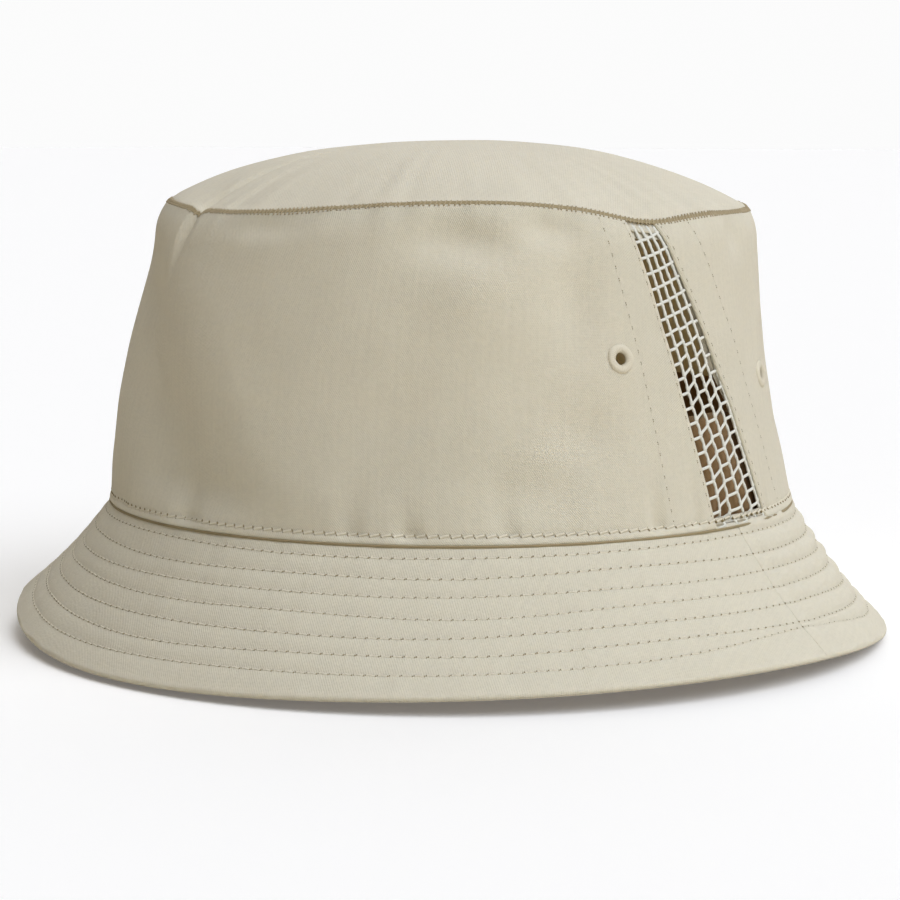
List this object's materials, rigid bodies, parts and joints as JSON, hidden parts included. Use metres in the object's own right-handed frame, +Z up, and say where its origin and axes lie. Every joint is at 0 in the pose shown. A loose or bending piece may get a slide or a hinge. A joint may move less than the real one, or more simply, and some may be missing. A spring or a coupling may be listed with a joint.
{
  "type": "bucket hat",
  "caption": "Soft cotton bucket hat with a domed tip, tapered crown wall, slanted net side vents, sewn eyelets, inner sweatband and a short sloped brim with concentric stitching.",
  "frame": {"origin": "centre of the rim's circle on the surface that the hat rests on", "axes": "+Z up through the crown, the face of the wearer towards -Y, the wearer's left towards +X"},
  "size_m": [0.2436, 0.2436, 0.1356],
  "materials": {
    "stone_twill": "soft matt cotton twill, stone",
    "inner_tape": "matt cotton tape, stone",
    "sweatband_twill": "matt cotton twill, brown",
    "interlining": "stiff woven interlining",
    "vent_net": "knitted open net, off-white",
    "eyelet_thread": "satin embroidery thread, stone",
    "sewing_thread": "matt sewing thread, stone",
    "label_weave": "plain woven label, blank"
  },
  "bodies": {
    "hat": {"crown_tip": "stone_twill", "front_panel": "stone_twill", "back_panel": "stone_twill", "vent_net_left": "vent_net", "vent_net_right": "vent_net", "vent_tape_front_left": "inner_tape", "vent_tape_back_left": "inner_tape", "vent_tape_front_right": "inner_tape", "vent_tape_back_right": "inner_tape", "tip_seam_tape": "inner_tape", "sweatband": "sweatband_twill", "eyelet_front_left": "eyelet_thread", "eyelet_back_left": "eyelet_thread", "eyelet_front_right": "eyelet_thread", "eyelet_back_right": "eyelet_thread", "brim_top_front": "stone_twill", "brim_top_back": "stone_twill", "brim_interlining_front": "interlining", "brim_interlining_back": "interlining", "brim_under_front": "stone_twill", "brim_under_back": "stone_twill", "crown_base_stitching": "sewing_thread", "crown_tip_stitching": "sewing_thread", "vent_stitching_left": "sewing_thread", "vent_stitching_right": "sewing_thread", "brim_stitching_front": "sewing_thread", "brim_stitching_back": "sewing_thread", "main_label_patch": "label_weave"},
    "care_label": {"care_label_flap": "label_weave"}
  },
  "joints": [
    {"name": "care_label_swing", "type": "hinge", "parent": "hat", "child": "care_label", "pos_m": [0.045, 0.07794, 0.0353], "axis": [-0.866, 0.5, 0], "range_deg": [-20, 150]}
  ]
}
